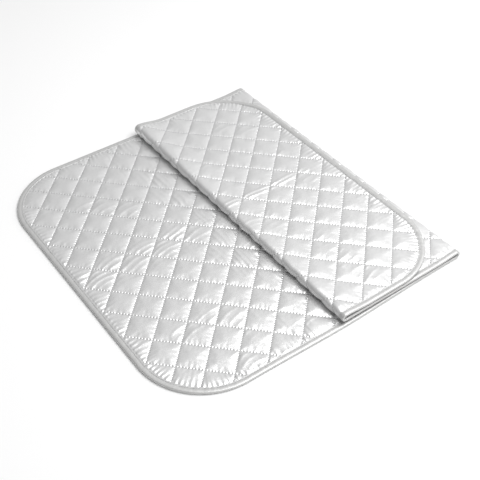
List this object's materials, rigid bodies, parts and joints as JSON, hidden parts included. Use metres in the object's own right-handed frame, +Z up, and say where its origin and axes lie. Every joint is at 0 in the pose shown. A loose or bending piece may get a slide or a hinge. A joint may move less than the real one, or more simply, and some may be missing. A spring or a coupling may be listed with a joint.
{
  "type": "foam sleeping pad",
  "caption": "Thin quilted foam pad with silver coated covers and taped edge, folded in three like a letter Z, with hinged panels that open flat.",
  "frame": {"origin": "middle of the folded pad's outline, on the surface that it rests on", "axes": "+Y along both fold lines, +X towards the fold under the stack, +Z up"},
  "size_m": [0.435, 0.48, 0.0159],
  "materials": {
    "silver_cover": "satin",
    "foam": "matte",
    "binding_tape": "satin",
    "sewing_thread": "matte"
  },
  "bodies": {
    "base_panel": {"base_lower_cover": "silver_cover", "base_foam_core": "foam", "base_upper_cover": "silver_cover", "base_edge_binding": "binding_tape", "base_binding_seam": "sewing_thread", "base_lower_quilting": "sewing_thread", "base_upper_quilting": "sewing_thread", "right_fold_outer_cover": "silver_cover", "right_fold_foam": "foam", "right_fold_inner_cover": "silver_cover", "right_fold_front_binding": "binding_tape", "right_fold_back_binding": "binding_tape", "right_fold_binding_seam": "sewing_thread"},
    "middle_panel": {"middle_lower_cover": "silver_cover", "middle_foam_core": "foam", "middle_upper_cover": "silver_cover", "middle_front_binding": "binding_tape", "middle_back_binding": "binding_tape", "middle_binding_seam": "sewing_thread", "middle_lower_quilting": "sewing_thread", "middle_upper_quilting": "sewing_thread", "left_fold_outer_cover": "silver_cover", "left_fold_foam": "foam", "left_fold_inner_cover": "silver_cover", "left_fold_front_binding": "binding_tape", "left_fold_back_binding": "binding_tape", "left_fold_binding_seam": "sewing_thread"},
    "top_panel": {"top_lower_cover": "silver_cover", "top_foam_core": "foam", "top_upper_cover": "silver_cover", "top_edge_binding": "binding_tape", "top_binding_seam": "sewing_thread", "top_lower_quilting": "sewing_thread", "top_upper_quilting": "sewing_thread"}
  },
  "joints": [
    {"name": "right_fold", "type": "hinge", "parent": "base_panel", "child": "middle_panel", "pos_m": [0.21395, 0, 0.0051], "axis": [0, 1, 0], "range_deg": [0, 179.5], "deforming": ["right_fold_outer_cover", "right_fold_foam", "right_fold_inner_cover", "right_fold_front_binding", "right_fold_back_binding", "right_fold_binding_seam"]},
    {"name": "left_fold", "type": "hinge", "parent": "middle_panel", "child": "top_panel", "pos_m": [0.01845, 0, 0.0108], "axis": [0, -1, 0], "range_deg": [0, 179.5], "deforming": ["left_fold_outer_cover", "left_fold_foam", "left_fold_inner_cover", "left_fold_front_binding", "left_fold_back_binding", "left_fold_binding_seam"]}
  ]
}
